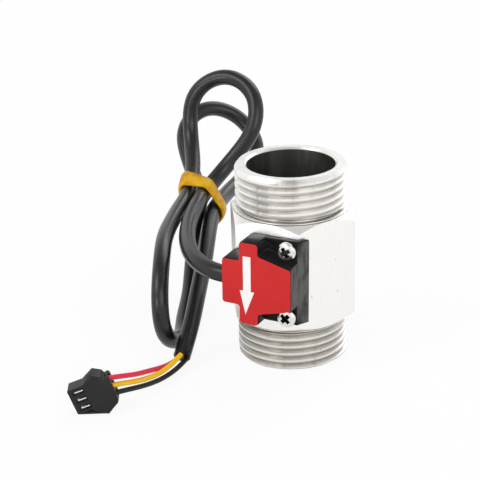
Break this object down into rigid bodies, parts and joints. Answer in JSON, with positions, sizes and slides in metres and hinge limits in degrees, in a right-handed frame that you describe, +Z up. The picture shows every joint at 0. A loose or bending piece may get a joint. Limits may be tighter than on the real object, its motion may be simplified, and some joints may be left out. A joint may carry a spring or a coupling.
{
  "type": "water flow sensor",
  "caption": "Inline water flow sensor: threaded hexagonal steel body with a paddle rotor inside, a screwed-on Hall sensor housing, and a tied three-core cable with its plug.",
  "frame": {"origin": "middle of the body and sensor housing, on the plane of the outlet end that the sensor stands on", "axes": "+Z up the bore from the outlet to the inlet, against the flow; the sensor housing faces -Y; +X to its right"},
  "size_m": [0.0916, 0.147, 0.0663],
  "materials": {
    "stainless_steel": "turned and brushed stainless steel",
    "spring_steel": "satin spring steel",
    "plated_steel": "bright plated",
    "tinned_contact": "bright tinned",
    "ferrite_magnet": "dark matt ceramic magnet",
    "rotor_plastic": "moulded light grey plastic",
    "support_plastic": "moulded black plastic",
    "housing_plastic": "moulded black plastic, fine grain",
    "bush_plastic": "smooth bearing plastic",
    "seal_rubber": "soft foam rubber",
    "circuit_board": "green solder mask",
    "chip_epoxy": "black moulded package",
    "label_red": "satin red film with a plain white arrow",
    "cable_black": "matt black flexible jacket",
    "core_red": "red wire insulation",
    "core_yellow": "yellow wire insulation",
    "band_rubber": "amber rubber band"
  },
  "bodies": {
    "body": {"flow_body": "stainless_steel", "retaining_ring": "spring_steel", "swirl_guide": "support_plastic", "outlet_spider": "support_plastic", "rotor_shaft": "stainless_steel", "sensor_housing": "housing_plastic", "label": "label_red", "screw_upper": "plated_steel", "screw_lower": "plated_steel", "sensor_seal": "seal_rubber", "circuit_board": "circuit_board", "hall_element": "chip_epoxy", "lead_red": "core_red", "lead_yellow": "core_yellow", "lead_black": "cable_black", "cable_jacket": "cable_black", "cable_band": "band_rubber", "core_red": "core_red", "core_yellow": "core_yellow", "core_black": "cable_black", "plug_housing": "housing_plastic", "plug_contact_1": "tinned_contact", "plug_contact_2": "tinned_contact", "plug_contact_3": "tinned_contact"},
    "rotor": {"rotor": "rotor_plastic", "magnet_ring": "ferrite_magnet", "rotor_bush_lower": "bush_plastic", "rotor_bush_upper": "bush_plastic"}
  },
  "joints": [
    {"name": "rotor_spin", "type": "hinge", "parent": "body", "child": "rotor", "pos_m": [0, 0.00417, 0.03], "axis": [0, 0, 1], "continuous": true}
  ]
}
